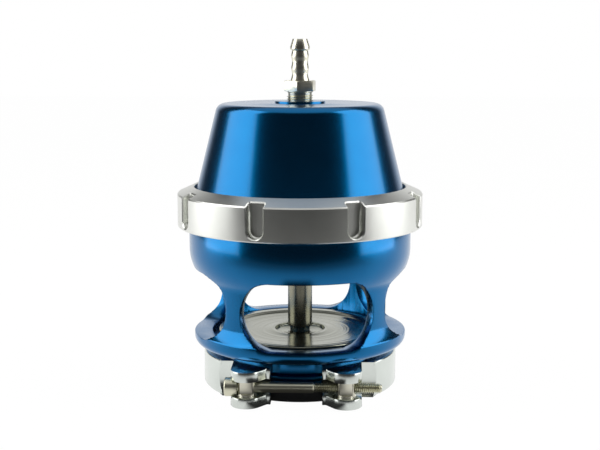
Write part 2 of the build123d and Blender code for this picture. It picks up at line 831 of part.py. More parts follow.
# Clamp screw: socket head outside the left barrel, plain shank, thread through the right one
head_x = -head_seat_x - screw_head_gap
thread_x = head_x + screw_plain
screw_end_x = ear_x + barrel_r + screw_tail
with BuildPart() as clamp_screw:
    with BuildSketch(screw_plane(head_x)):
        Circle(screw_head_r)
    extrude(amount=-screw_head_h)
    chamfer(clamp_screw.faces().sort_by(Axis.X)[0].edges(), screw_edge)
    with BuildSketch(screw_plane(head_x - screw_head_h)):
        RegularPolygon(screw_socket / 2, 6, major_radius=False)
    extrude(amount=screw_socket_depth, mode=Mode.SUBTRACT)
    with BuildSketch(screw_plane(head_x)):
        Circle(screw_r)
    extrude(amount=screw_plain)
    with BuildSketch(screw_plane(thread_x)):
        Circle(screw_thread_r)
    extrude(amount=screw_end_x - thread_x)
    chamfer(clamp_screw.faces().sort_by(Axis.X)[-1].edges(), screw_edge)

pieces = {
    "weld_flange": weld_flange,
    "flange_o_ring": flange_o_ring,
    "valve_body": valve_body,
    "stem_guide_bush": stem_guide_bush,
    "stem_seal": stem_seal,
    "seal_circlip": seal_circlip,
    "valve_disc": valve_disc,
    "valve_stem": valve_stem,
    "disc_screw": disc_screw,
    "diaphragm": diaphragm,
    "diaphragm_plate": diaphragm_plate,
    "spring_cup": spring_cup,
    "plate_washer": plate_washer,
    "stem_nut": stem_nut,
    "outer_spring": outer_spring,
    "inner_spring": inner_spring,
    "cap": cap,
    "collar_ring": collar_ring,
    "hose_fitting": hose_fitting,
    "clamp_half_left": clamp_half_left,
    "clamp_half_right": clamp_half_right,
    "hinge_pin": hinge_pin,
    "plain_barrel": plain_barrel,
    "threaded_barrel": threaded_barrel,
    "clamp_screw": clamp_screw,
}
for name, piece in pieces.items():
    piece.part.label = name
    export_step(piece.part, f"parts/{name}.step")
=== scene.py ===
import bpy
import json
from math import asin, atan2, cos, degrees, pi, radians, sin, sqrt, tan
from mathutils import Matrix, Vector


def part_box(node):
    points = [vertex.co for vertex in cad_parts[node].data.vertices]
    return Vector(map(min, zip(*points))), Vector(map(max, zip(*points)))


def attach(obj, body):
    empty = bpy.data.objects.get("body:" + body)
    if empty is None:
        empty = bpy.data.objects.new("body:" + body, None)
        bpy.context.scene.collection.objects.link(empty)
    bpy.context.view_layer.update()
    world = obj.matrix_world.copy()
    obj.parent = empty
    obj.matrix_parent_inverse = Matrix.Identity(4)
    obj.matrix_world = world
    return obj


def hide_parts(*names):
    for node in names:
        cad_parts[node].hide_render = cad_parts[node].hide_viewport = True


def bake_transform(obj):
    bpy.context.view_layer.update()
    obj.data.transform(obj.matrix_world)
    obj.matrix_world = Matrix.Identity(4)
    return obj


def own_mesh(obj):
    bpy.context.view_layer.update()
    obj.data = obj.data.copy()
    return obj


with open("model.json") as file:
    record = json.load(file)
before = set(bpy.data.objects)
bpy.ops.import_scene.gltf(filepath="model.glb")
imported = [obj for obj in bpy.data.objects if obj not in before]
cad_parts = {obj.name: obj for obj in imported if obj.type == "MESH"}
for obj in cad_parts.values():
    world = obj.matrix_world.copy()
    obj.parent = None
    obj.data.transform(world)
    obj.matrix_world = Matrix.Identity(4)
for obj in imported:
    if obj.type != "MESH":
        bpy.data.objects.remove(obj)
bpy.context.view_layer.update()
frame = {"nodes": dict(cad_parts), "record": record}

nodes = frame["nodes"]
scene = bpy.context.scene
scene.view_settings.view_transform = "Standard"

frame_slots = {
    part["node"]: part["material_slot"] for part in frame["record"]["subparts"]
}

# Lengths below are millimetres unless a name says otherwise; meshes are in metres
MM = 0.001
TURN_STEPS = 256
SMALL_STEPS = 96
BORE_STEPS = 48
VENT_STEPS = 32
HEX_SIDES = 6
MERGE_GAP = 0.002
SAME_PLACE = 0.001


def lowest(node_name, axis):
    """Low side of a CAD node along x, y or z, in millimetres."""
    return round(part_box(node_name)[0]["xyz".index(axis)] / MM, 4)


def highest(node_name, axis):
    """High side of a CAD node along x, y or z, in millimetres."""
    return round(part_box(node_name)[1]["xyz".index(axis)] / MM, 4)


def middle(node_name, axis):
    """Middle of a CAD node along x, y or z, in millimetres."""
    return round((lowest(node_name, axis) + highest(node_name, axis)) / 2, 4)


# Heights and walls that set the levels between the ends of the nodes
NECK_H = 9.3
SKIRT_H = 4.4
ROOF_GAP = 1.4
WEB_T = 6.0
CAP_FLANGE_T = 3.0
CAP_ROOF = 4.2
CROWN_DROP = 2.75
HEX_RISE = 3.7
HEX_H = 4.0

# Levels, from the weld face upwards
JOINT_Z = highest("weld_flange", "z")
SKIRT_Z = JOINT_Z + NECK_H
SILL_Z = SKIRT_Z + SKIRT_H
WINDOW_R = 12.7
WINDOW_Z = SILL_Z + WINDOW_R
WINDOW_TOP = WINDOW_Z + WINDOW_R
ROOF_Z = WINDOW_TOP + ROOF_GAP
WEB_TOP = ROOF_Z + WEB_T
RIM_Z = highest("valve_body", "z")
DISC_FOOT = lowest("valve_disc", "z")
DISC_TOP = highest("valve_disc", "z")
STEM_FOOT = lowest("valve_stem", "z")
STEM_TOP = highest("valve_stem", "z")
COLLAR_FOOT = lowest("collar_ring", "z")
COLLAR_TOP = highest("collar_ring", "z")
COLLAR_EDGE_Z = COLLAR_TOP - CROWN_DROP
CAP_Z = lowest("cap", "z")
LIP_SEAT_Z = CAP_Z + CAP_FLANGE_T
CAP_CEILING = highest("outer_spring", "z")
CAP_TOP = CAP_CEILING + CAP_ROOF
BOSS_TOP = highest("cap", "z")
FITTING_FOOT = lowest("hose_fitting", "z")
HEX_FOOT = BOSS_TOP + HEX_RISE
HEX_TOP = HEX_FOOT + HEX_H

# Walls and steps that set the radii between the outsides of the nodes
LIP_W = 1.8
LIP_RIM = 2.8
LIP_DROP = 3.455
THROAT_STEP = 0.4
DISC_GAP = 2.3
BODY_WALL = 4.5
SKIRT_W = 2.6
THREAD_STEP = 0.45
RIM_WALL = 5.4
CAP_FLANGE_W = 1.9
COLLAR_GAP = 0.1
BOSS_WALL = 4.6

# Radii
INLET_BORE_R = 28.5
THROAT_R = INLET_BORE_R + THROAT_STEP
LIP_R = highest("weld_flange", "x")
NECK_R = LIP_R - LIP_W
DISC_R = highest("valve_disc", "x")
BODY_BORE_R = DISC_R + DISC_GAP
WAIST_R = BODY_BORE_R + BODY_WALL
SKIRT_R = WAIST_R + SKIRT_W
SHOULDER_R = highest("valve_body", "x")
BODY_THREAD_R = SHOULDER_R - THREAD_STEP
CHAMBER_R = BODY_THREAD_R - RIM_WALL
STEM_R = highest("valve_stem", "x")
STEM_THREAD_R = 3.0
HUB_R = 12.0
VENT_RING_R = (HUB_R + BODY_BORE_R) / 2
CAP_FLANGE_R = highest("cap", "x")
CAP_FOOT_R = CAP_FLANGE_R - CAP_FLANGE_W
PORT_R = 5.15
BOSS_R = PORT_R + BOSS_WALL
COLLAR_R = highest("collar_ring", "x")
COLLAR_BORE_R = BODY_THREAD_R + COLLAR_GAP
FITTING_BORE_R = 2.2
HEX_CORNER_R = 6.409

# Windows and notches: repeats and clock angles, in degrees from the front towards +X
WINDOW_COUNT = 4
WINDOW_CLOCK = 7.2
WINDOW_HALF_ANGLE = 39.5
NOTCH_COUNT = 8
NOTCH_CLOCK = 27.2
NOTCH_R = 3.175
NOTCH_DEPTH = 3.3
NOTCH_FOOT = 1.1
HEX_CLOCK = -7.3
BARB_PITCH = 4.7

# Places of the clamp's ears and barrels, its screw and its hinge
EAR_X = middle("threaded_barrel", "x")
EAR_Y = -middle("threaded_barrel", "y")
BARREL_R = highest("threaded_barrel", "x") - EAR_X
SCREW_Z = JOINT_Z
HINGE_Y = middle("hinge_pin", "y")


# Modelling helpers

def deselect():
    """Nothing selected, object mode."""
    if bpy.context.object and bpy.context.object.mode != "OBJECT":
        bpy.ops.object.mode_set(mode="OBJECT")
    bpy.ops.object.select_all(action="DESELECT")


def take(obj):
    """Makes obj the one selected and active object."""
    deselect()
    obj.select_set(True)
    bpy.context.view_layer.objects.active = obj


def settle(obj):
    """Puts an object's place, turn and size into its mesh."""
    take(obj)
    bpy.ops.object.transform_apply(location=True, rotation=True, scale=True)
    return obj


def pick(obj, wanted, mode="VERT"):
    """Opens obj in edit mode with the points selected that pass the test, or the edges between."""
    take(obj)
    bpy.ops.object.mode_set(mode="EDIT")
    bpy.ops.mesh.select_mode(type=mode)
    bpy.ops.mesh.select_all(action="DESELECT")
    bpy.ops.object.mode_set(mode="OBJECT")
    passed = [wanted(v.co / MM) for v in obj.data.vertices]
    if mode == "VERT":
        for vertex in obj.data.vertices:
            vertex.select = passed[vertex.index]
    else:
        for edge in obj.data.edges:
            edge.select = all(passed[end] for end in edge.vertices)
    bpy.ops.object.mode_set(mode="EDIT")


def face_outwards(obj):
    """Merges doubles, then turns every face outwards."""
    take(obj)
    bpy.ops.object.mode_set(mode="EDIT")
    bpy.ops.mesh.select_mode(type="VERT")
    bpy.ops.mesh.select_all(action="SELECT")
    bpy.ops.mesh.remove_doubles(threshold=MERGE_GAP * MM)
    bpy.ops.mesh.normals_make_consistent(inside=False)
    bpy.ops.object.mode_set(mode="OBJECT")
    return obj


def lathe(name, profile, steps=TURN_STEPS):
    """Turned piece: a ring, extruded and resized from point to point of the profile.
    The profile is (radius, height); it closes on itself, or on the axis where it ends there."""
    on_axis = profile[0][0] == 0
    rings = profile[1:-1] if on_axis else profile
    r0, z0 = rings[0]
    deselect()
    bpy.ops.mesh.primitive_circle_add(
        vertices=steps, radius=r0 * MM, location=(0, 0, z0 * MM),
        fill_type="NGON" if on_axis else "NOTHING",
    )
    obj = settle(bpy.context.object)
    obj.name = name
    bpy.ops.object.mode_set(mode="EDIT")
    bpy.ops.mesh.select_mode(type="EDGE")
    bpy.ops.mesh.select_all(action="SELECT")
    for (r0, z0), (r1, z1) in zip(rings, rings[1:]):
        if on_axis:
            bpy.ops.mesh.extrude_region_move()
        else:
            bpy.ops.mesh.extrude_edges_move()
        bpy.ops.transform.translate(value=(0, 0, (z1 - z0) * MM))
        bpy.ops.transform.resize(value=(r1 / r0, r1 / r0, 1), center_override=(0, 0, z1 * MM))
    if not on_axis:
        bpy.ops.object.mode_set(mode="OBJECT")
        ends = [Vector(rings[0]), Vector(rings[-1])]

        def on_end(point):
            ring = Vector((point.xy.length, point.z))
            return any((ring - end).length < SAME_PLACE for end in ends)

        pick(obj, on_end, "EDGE")
        bpy.ops.mesh.bridge_edge_loops()
    bpy.ops.object.mode_set(mode="OBJECT")
    return face_outwards(obj)


def arc(cx, cz, r, start, end, steps):
    """Points of an arc in a profile. Angles are degrees from the outward direction, upwards."""
    angles = [radians(start + (end - start) * k / steps) for k in range(steps + 1)]
    return [(cx + r * cos(a), cz + r * sin(a)) for a in angles]


def upright_arc(start, end, steps):
    """Profile arc that leaves its start straight up or down."""
    (r0, z0), (r1, z1) = start, end
    radius = ((r1 - r0) ** 2 + (z1 - z0) ** 2) / (2 * (r1 - r0))
    centre = r0 + radius
    first = 180.0 if radius > 0 else 0.0
    last = degrees(atan2(z1 - z0, r1 - centre)) % 360
    if first == 0.0:
        last -= 360
    return arc(centre, z0, abs(radius), first, last, steps)


def part_at(obj, point, normal):
    """Adds a loop of edges where a plane crosses the mesh."""
    pick(obj, lambda p: True)
    bpy.ops.mesh.bisect(plane_co=Vector(point) * MM, plane_no=normal)
    bpy.ops.object.mode_set(mode="OBJECT")


def turn_picked(angle):
    """Turns what is selected round the valve's axis, towards +X from the front."""
    bpy.ops.transform.rotate(value=-radians(angle), orient_axis="Z", center_override=(0, 0, 0))
    bpy.ops.object.mode_set(mode="OBJECT")


def turn_all(obj, angle):
    """Turns a whole mesh round the valve's axis, towards +X from the front."""
    obj.rotation_euler = (0, 0, radians(angle))
    settle(obj)


def join(name, *parts):
    """Several meshes as one piece."""
    deselect()
    for part in parts:
        part.select_set(True)
    bpy.context.view_layer.objects.active = parts[0]
    bpy.ops.object.join()
    parts[0].name = name
    return parts[0]


def press(obj, kind, **values):
    """Adds a modifier with its values and applies it."""
    take(obj)
    modifier = obj.modifiers.new(kind.title(), kind)
    for key, value in values.items():
        setattr(modifier, key, value)
    bpy.ops.object.modifier_apply(modifier=modifier.name)


def cut(obj, tool, operation="DIFFERENCE"):
    """Cuts or crops obj with a tool mesh, which is used up."""
    press(obj, "BOOLEAN", operation=operation, solver="EXACT", object=tool)
    bpy.data.objects.remove(tool)


def ease_edges(obj, width, angle=30.0, segments=2):
    """Breaks every sharp edge with a small round."""
    face_outwards(obj)
    press(
        obj, "BEVEL", width=width * MM, segments=segments, limit_method="ANGLE",
        angle_limit=radians(angle), use_clamp_overlap=False, miter_outer="MITER_ARC",
    )
    return obj


def smooth(obj, angle=32.0):
    """Smooth shading that keeps edges sharper than the angle."""
    take(obj)
    bpy.ops.object.shade_smooth_by_angle(angle=radians(angle))


def turned_copies(obj, count):
    """obj and its copies spaced evenly round Z, as one mesh."""
    copies = [obj]
    for k in range(1, count):
        copy = obj.copy()
        copy.data = obj.data.copy()
        copy.rotation_euler = (0, 0, 2 * pi * k / count)
        scene.collection.objects.link(copy)
        copies.append(copy)
    deselect()
    for copy in copies:
        copy.select_set(True)
    bpy.context.view_layer.objects.active = obj
    bpy.ops.object.transform_apply(location=True, rotation=True, scale=True)
    bpy.ops.object.join()
    return obj


def round_bar(name, radius, start, end, steps=SMALL_STEPS):
    """Plain round bar between two points, for shaping further or for cutting with."""
    a, b = Vector(start) * MM, Vector(end) * MM
    deselect()
    bpy.ops.mesh.primitive_cylinder_add(
        vertices=steps, radius=radius * MM, depth=(b - a).length, location=(a + b) / 2,
        rotation=(b - a).to_track_quat("Z", "Y").to_euler(),
    )
    obj = settle(bpy.context.object)
    obj.name = name
    return obj


def block(name, low, high):
    """Plain block between two corners, for shaping further or for cutting with."""
    a, b = Vector(low) * MM, Vector(high) * MM
    deselect()
    bpy.ops.mesh.primitive_cube_add(size=1, location=(a + b) / 2, scale=b - a)
    obj = settle(bpy.context.object)
    obj.name = name
    return obj


# Finishes

# How the slow cloud spreads between a finish's two colours, and how much finer its speckle is
CLOUD_CONTRAST = 1.6
CLOUD_SHIFT = -0.1
SPECKLE_FINER = 12


def group(name, inputs, outputs):
    """Empty node group with named sockets, as (tree, input node, output node)."""
    tree = bpy.data.node_groups.new(name, "ShaderNodeTree")
    for socket, kind, value in inputs:
        made = tree.interface.new_socket(socket, in_out="INPUT", socket_type=kind)
        if value is not None:
            made.default_value = value
    for socket, kind in outputs:
        tree.interface.new_socket(socket, in_out="OUTPUT", socket_type=kind)
    return tree, tree.nodes.new("NodeGroupInput"), tree.nodes.new("NodeGroupOutput")


def add(tree, kind, **values):
    """New node in a tree, with plain properties set."""
    node = tree.nodes.new(kind)
    for key, value in values.items():
        setattr(node, key, value)
    return node


def calc(tree, operation, *values):
    """Math node whose inputs are numbers or sockets; gives its output."""
    node = add(tree, "ShaderNodeMath", operation=operation)
    for socket, value in zip(node.inputs, values):
        if isinstance(value, (int, float)):
            socket.default_value = value
        else:
            tree.links.new(value, socket)
    return node.outputs[0]


def turning_marks_group():
    """Fine rings left by a lathe tool round Z: they follow radius plus height."""
    tree, given, out = group(
        "turning_marks",
        [("Point", "NodeSocketVector", None), ("Marks per mm", "NodeSocketFloat", 2.0)],
        [("Height", "NodeSocketFloat")],
    )
    split = add(tree, "ShaderNodeSeparateXYZ")
    tree.links.new(given.outputs["Point"], split.inputs[0])
    x2 = calc(tree, "MULTIPLY", split.outputs["X"], split.outputs["X"])
    y2 = calc(tree, "MULTIPLY", split.outputs["Y"], split.outputs["Y"])
    radius = calc(tree, "SQRT", calc(tree, "ADD", x2, y2))
    run = calc(tree, "MULTIPLY", calc(tree, "ADD", radius, split.outputs["Z"]), 1 / MM)
    noise = add(tree, "ShaderNodeTexNoise", noise_dimensions="1D")
    noise.inputs["Detail"].default_value = 3.0
    noise.inputs["Roughness"].default_value = 0.6
    tree.links.new(run, noise.inputs["W"])
    tree.links.new(given.outputs["Marks per mm"], noise.inputs["Scale"])
    tree.links.new(noise.outputs["Fac"], out.inputs["Height"])
    return tree


def handling_group():
    """Faint uneven sheen, as from wiping and handling: a slow cloud with a fine speckle in it."""
    tree, given, out = group(
        "handling",
        [("Point", "NodeSocketVector", None), ("Size mm", "NodeSocketFloat", 12.0)],
        [("Cloud", "NodeSocketFloat"), ("Speckle", "NodeSocketFloat")],
    )
    cloud = add(tree, "ShaderNodeTexNoise")
    cloud.inputs["Detail"].default_value = 4.0
    tree.links.new(given.outputs["Point"], cloud.inputs["Vector"])
    tree.links.new(calc(tree, "DIVIDE", 1 / MM, given.outputs["Size mm"]), cloud.inputs["Scale"])
    tree.links.new(cloud.outputs["Fac"], out.inputs["Cloud"])
    speckle = add(tree, "ShaderNodeTexNoise")
    speckle.inputs["Detail"].default_value = 2.0
    tree.links.new(given.outputs["Point"], speckle.inputs["Vector"])
    speckle_scale = calc(tree, "DIVIDE", SPECKLE_FINER / MM, given.outputs["Size mm"])
    tree.links.new(speckle_scale, speckle.inputs["Scale"])
    tree.links.new(speckle.outputs["Fac"], out.inputs["Speckle"])
    return tree


def line_marks_group():
    """Fine straight scratches along one axis, as left by a belt or a wire brush."""
    tree, given, out = group(
        "line_marks",
        [("Point", "NodeSocketVector", None), ("Stretch", "NodeSocketVector", (1.0, 1.0, 1.0))],
        [("Height", "NodeSocketFloat")],
    )
    scaled = add(tree, "ShaderNodeVectorMath", operation="MULTIPLY")
    tree.links.new(given.outputs["Point"], scaled.inputs[0])
    tree.links.new(given.outputs["Stretch"], scaled.inputs[1])
    noise = add(tree, "ShaderNodeTexNoise")
    noise.inputs["Scale"].default_value = 1 / MM
    noise.inputs["Detail"].default_value = 3.0
    tree.links.new(scaled.outputs[0], noise.inputs["Vector"])
    tree.links.new(noise.outputs["Fac"], out.inputs["Height"])
    return tree


TURNING = turning_marks_group()
HANDLING = handling_group()
LINES = line_marks_group()


def finish(
    name, colour, dark, roughness, spread, metallic=1.0, marks=None, marks_per_mm=2.0,
    stretch=(1.0, 1.0, 1.0), depth=0.02, cloud_mm=12.0, **plain
):
    """Material with an uneven colour and sheen and one kind of tool marks in its surface.
    Extra values are set on the shader's own sockets, by their names with underscores."""
    made = bpy.data.materials.new(name)
    made.use_nodes = True
    tree = made.node_tree
    shader = tree.nodes["Principled BSDF"]
    point = add(tree, "ShaderNodeTexCoord").outputs["Object"]
    handling = add(tree, "ShaderNodeGroup", node_tree=HANDLING)
    handling.inputs["Size mm"].default_value = cloud_mm
    tree.links.new(point, handling.inputs["Point"])
    blend = add(tree, "ShaderNodeMix", data_type="RGBA")
    blend.inputs["A"].default_value = (*dark, 1.0)
    blend.inputs["B"].default_value = (*colour, 1.0)
    level = calc(tree, "MULTIPLY_ADD", handling.outputs["Cloud"], CLOUD_CONTRAST, CLOUD_SHIFT)
    tree.links.new(calc(tree, "MINIMUM", level, 1.0), blend.inputs["Factor"])
    tree.links.new(blend.outputs["Result"], shader.inputs["Base Color"])
    both = calc(tree, "ADD", handling.outputs["Cloud"], handling.outputs["Speckle"])
    sheen = calc(tree, "MULTIPLY_ADD", calc(tree, "SUBTRACT", both, 1.0), spread, roughness)
    tree.links.new(sheen, shader.inputs["Roughness"])
    shader.inputs["Metallic"].default_value = metallic
    height = handling.outputs["Speckle"]
    if marks is not None:
        tool = add(tree, "ShaderNodeGroup", node_tree=marks)
        tree.links.new(point, tool.inputs["Point"])
        if marks is TURNING:
            tool.inputs["Marks per mm"].default_value = marks_per_mm
        else:
            tool.inputs["Stretch"].default_value = stretch
        height = tool.outputs["Height"]
    bump = add(tree, "ShaderNodeBump")
    bump.inputs["Strength"].default_value = 1.0
    bump.inputs["Distance"].default_value = depth * MM
    tree.links.new(height, bump.inputs["Height"])
    tree.links.new(bump.outputs["Normal"], shader.inputs["Normal"])
    for key, value in plain.items():
        shader.inputs[key.replace("_", " ").title().replace("Ior", "IOR")].default_value = value
    return made


FINISHES = {
    "blue_anodised": finish(
        "blue_anodised", (0.0003, 0.145, 0.36), (0.0002, 0.122, 0.32), 0.22, 0.04, marks=TURNING,
        marks_per_mm=2.2, depth=0.0010, coat_weight=0.35, coat_roughness=0.10, coat_ior=1.5,
    ),
    "turned_aluminium": finish(
        "turned_aluminium", (0.78, 0.79, 0.75), (0.71, 0.72, 0.68), 0.30, 0.04, marks=TURNING,
        marks_per_mm=2.6, depth=0.0012,
    ),
    "polished_aluminium": finish(
        "polished_aluminium", (0.71, 0.75, 0.71), (0.65, 0.69, 0.65), 0.20, 0.05, cloud_mm=8.0,
        depth=0.004,
    ),
    # Painted shade: this colour is set far darker than bare aluminium's, standing in for the
    # shadow the weld flange sits in under the joint
    "bare_aluminium": finish(
        "bare_aluminium", (0.17, 0.175, 0.18), (0.11, 0.115, 0.12), 0.38, 0.08, marks=TURNING,
        marks_per_mm=2.0, depth=0.006,
    ),
    "polished_steel": finish(
        "polished_steel", (0.35, 0.36, 0.30), (0.29, 0.30, 0.25), 0.19, 0.03, marks=TURNING,
        marks_per_mm=0.12, depth=0.60,
    ),
    "dark_steel": finish(
        "dark_steel", (0.32, 0.31, 0.24), (0.27, 0.26, 0.20), 0.27, 0.03, marks=TURNING,
        marks_per_mm=3.0, depth=0.0008,
    ),
    "screw_steel": finish(
        "screw_steel", (0.72, 0.71, 0.56), (0.62, 0.61, 0.48), 0.34, 0.06, marks=LINES,
        stretch=(4.0, 0.6, 0.6), depth=0.004, cloud_mm=5.0,
    ),
    "spring_steel": finish(
        "spring_steel", (0.42, 0.42, 0.43), (0.30, 0.30, 0.31), 0.32, 0.08, cloud_mm=6.0,
    ),
    "zinc_steel": finish(
        "zinc_steel", (0.62, 0.62, 0.58), (0.48, 0.48, 0.44), 0.30, 0.10, cloud_mm=5.0,
    ),
    "nickel_plate": finish(
        "nickel_plate", (0.78, 0.76, 0.64), (0.70, 0.68, 0.56), 0.29, 0.04, cloud_mm=5.0,
        depth=0.002,
    ),
    "bronze": finish(
        "bronze", (0.60, 0.38, 0.16), (0.48, 0.28, 0.11), 0.36, 0.10, marks=TURNING,
        marks_per_mm=3.0, depth=0.006,
    ),
    "black_rubber": finish(
        "black_rubber", (0.022, 0.022, 0.022), (0.014, 0.014, 0.014), 0.62, 0.14, metallic=0.0,
        cloud_mm=9.0,
    ),
}


def dress(obj, slot_name):
    """Gives a piece the finish of the slot that it comes from."""
    obj.data.materials.clear()
    obj.data.materials.append(FINISHES[slot_name])


# Turned pieces of the housing

def make_cap():
    """Tapered spring cap: clamped flange, satin cone, rolled top edge and port boss."""
    lean = 14.1
    edge_r = 3.5
    wall = 3.0
    bore_foot_r = 37.1
    port_boss_r = PORT_R + 3.85
    port_foot_z = CAP_CEILING - 4.2
    head_r = CAP_FOOT_R - (CAP_TOP - LIP_SEAT_Z) * tan(radians(lean))
    edge_centre_r = head_r - edge_r * (1 - sin(radians(lean))) / cos(radians(lean))
    return ease_edges(lathe("spring_cap", [
        (CAP_FLANGE_R, CAP_Z), (CAP_FLANGE_R, LIP_SEAT_Z), (CAP_FOOT_R, LIP_SEAT_Z),
        *arc(edge_centre_r, CAP_TOP - edge_r, edge_r, lean, 90, steps=14),
        (BOSS_R, CAP_TOP), (BOSS_R, BOSS_TOP), (PORT_R, BOSS_TOP), (PORT_R, port_foot_z),
        (port_boss_r, port_foot_z), (port_boss_r, CAP_CEILING), (head_r - wall, CAP_CEILING),
        (bore_foot_r, CAP_Z),
    ]), width=0.18)


def make_collar():
    """Collar ring: plain turned band, coned crown and eight round-ended spanner notches."""
    lip_r = CAP_FOOT_R + 0.5
    crown_r = lip_r + 0.4
    ring = lathe("notched_collar", [
        (COLLAR_BORE_R, COLLAR_FOOT), (COLLAR_R, COLLAR_FOOT), (COLLAR_R, COLLAR_EDGE_Z),
        (crown_r, COLLAR_TOP), (lip_r, COLLAR_TOP), (lip_r, LIP_SEAT_Z),
        (COLLAR_BORE_R, LIP_SEAT_Z),
    ])
    notch_z = COLLAR_FOOT + NOTCH_FOOT + NOTCH_R
    past = 3.0
    tool = round_bar(
        "notch_cutter", NOTCH_R, (0, NOTCH_DEPTH - COLLAR_R, notch_z),
        (0, -COLLAR_R - past, notch_z), BORE_STEPS,
    )
    # The bar is parted just above its middle row of points, and the half above is drawn out
    part_z = notch_z + 0.02
    draw_out = 15.0
    part_at(tool, (0, 0, part_z), (0, 0, 1))
    pick(tool, lambda p: p.z > (notch_z + part_z) / 2)
    bpy.ops.transform.translate(value=(0, 0, draw_out * MM))
    bpy.ops.object.mode_set(mode="OBJECT")
    turn_all(tool, NOTCH_CLOCK)
    cut(ring, turned_copies(tool, NOTCH_COUNT))
    return ease_edges(ring, width=0.4, segments=1)


def cut_windows(body):
    """Four round-ended windows: a bar parted down its middle, each half turned to one side."""
    inside, outside = 29.0, 60.0
    half_gap = 0.01
    spread = WINDOW_HALF_ANGLE - degrees(asin(WINDOW_R / WAIST_R))
    tool = round_bar("window_cutter", WINDOW_R, (0, -inside, WINDOW_Z), (0, -outside, WINDOW_Z))
    for side in (1, -1):
        part_at(tool, (side * half_gap, 0, 0), (1, 0, 0))
    for side in (-1, 1):
        pick(tool, lambda p: p.x * side > half_gap / 2)
        turn_picked(side * spread)
    turn_all(tool, WINDOW_CLOCK)
    cut(body, turned_copies(tool, WINDOW_COUNT))


def cut_vents(body):
    """Four small vents through the web, one behind each window."""
    vent_r = 2.0
    past = 1.0
    tool = round_bar(
        "vent_cutter", vent_r, (0, -VENT_RING_R, ROOF_Z - past),
        (0, -VENT_RING_R, WEB_TOP + past), VENT_STEPS,
    )
    turn_all(tool, WINDOW_CLOCK)
    cut(body, turned_copies(tool, WINDOW_COUNT))


def make_body():
    """Valve body: turned inside and out, then four milled windows and the web's vents."""
    hollow_r = 4.7
    lean = 36.0
    shoulder_arc_r = (SHOULDER_R - WAIST_R) / (1 - cos(radians(lean))) - hollow_r
    hollow_z = WINDOW_TOP - 5.45
    shoulder_z = hollow_z + (hollow_r + shoulder_arc_r) * sin(radians(lean))
    bead_z = COLLAR_FOOT - 0.1
    seat_step = 2.7
    ledge_z = SILL_Z - seat_step
    seat_r = THROAT_R + seat_step
    hub_foot, hub_top = ROOF_Z - 4.0, WEB_TOP + 7.0
    bush_r, seal_r = 6.5, 7.5
    seal_z = hub_top - 5.0
    flare_top, flare_foot = SILL_Z + 6.8, SILL_Z + 1.0
    skirt_edge_z = SKIRT_Z + 2.9
    skirt_foot_r = SKIRT_R - 2.1
    body = lathe("windowed_body", [
        (NECK_R, SKIRT_Z), (NECK_R, JOINT_Z + LIP_DROP), (LIP_R, JOINT_Z + LIP_RIM),
        (LIP_R, JOINT_Z), (THROAT_R, JOINT_Z), (THROAT_R, ledge_z - seat_step),
        (seat_r, ledge_z), (BODY_BORE_R, ledge_z), (BODY_BORE_R, ROOF_Z), (HUB_R, ROOF_Z),
        (HUB_R, hub_foot), (bush_r, hub_foot), (bush_r, seal_z), (seal_r, seal_z),
        (seal_r, hub_top), (HUB_R, hub_top), (HUB_R, WEB_TOP), (CHAMBER_R, WEB_TOP),
        (CHAMBER_R, RIM_Z), (BODY_THREAD_R, RIM_Z), (BODY_THREAD_R, bead_z),
        (SHOULDER_R, bead_z),
        *arc(SHOULDER_R - shoulder_arc_r, shoulder_z, shoulder_arc_r, 0, -lean, steps=12),
        *arc(WAIST_R + hollow_r, hollow_z, hollow_r, 180 - lean, 180, steps=10)[1:],
        *upright_arc((WAIST_R, flare_top), (SKIRT_R, flare_foot), steps=14),
        *upright_arc((SKIRT_R, skirt_edge_z), (skirt_foot_r, SKIRT_Z), steps=10),
    ])
    cut_windows(body)
    cut_vents(body)
    return ease_edges(body, width=0.3)


def make_weld_flange():
    """Weld flange: plain neck for the pipe, and the V lip with a groove for its seal."""
    face_z = JOINT_Z - 0.02
    groove_z = JOINT_Z - 1.45
    groove_inner_r, groove_outer_r = 29.6, 31.1
    return ease_edges(lathe("weld_flange_turned", [
        (INLET_BORE_R, 0), (NECK_R, 0), (NECK_R, JOINT_Z - LIP_DROP),
        (LIP_R, JOINT_Z - LIP_RIM), (LIP_R, face_z), (groove_outer_r, face_z),
        (groove_outer_r, groove_z), (groove_inner_r, groove_z), (groove_inner_r, face_z),
        (INLET_BORE_R, face_z),
    ]), width=0.2)


# Valve

def make_disc():
    """Valve disc: seat cone below, rolled rim, flat band and shallow dish above."""
    edge_r = 0.8
    rim_r = DISC_R - edge_r
    band_r = 28.4
    dish_outer_r, dish_inner_r = 26.6, 9.8
    dish_z = DISC_TOP - 0.55
    sag = 0.5
    half = (dish_outer_r - dish_inner_r) / 2
    dish_r = (half**2 + sag**2) / (2 * sag)
    swing = degrees(asin(half / dish_r))
    bore_r = STEM_THREAD_R + 0.05
    underside_r = 30.2
    seat_top = DISC_FOOT + 1.8
    return ease_edges(lathe("dished_disc", [
        *arc(rim_r, DISC_TOP - edge_r, edge_r, 0, 90, steps=8), (band_r, DISC_TOP),
        *arc(
            dish_inner_r + half, dish_z - sag + dish_r, dish_r, -90 + swing, -90 - swing,
            steps=10,
        ),
        (dish_inner_r, STEM_FOOT), (bore_r, STEM_FOOT), (bore_r, DISC_FOOT),
        (underside_r, DISC_FOOT), (DISC_R, seat_top),
    ]), width=0.12, angle=14)


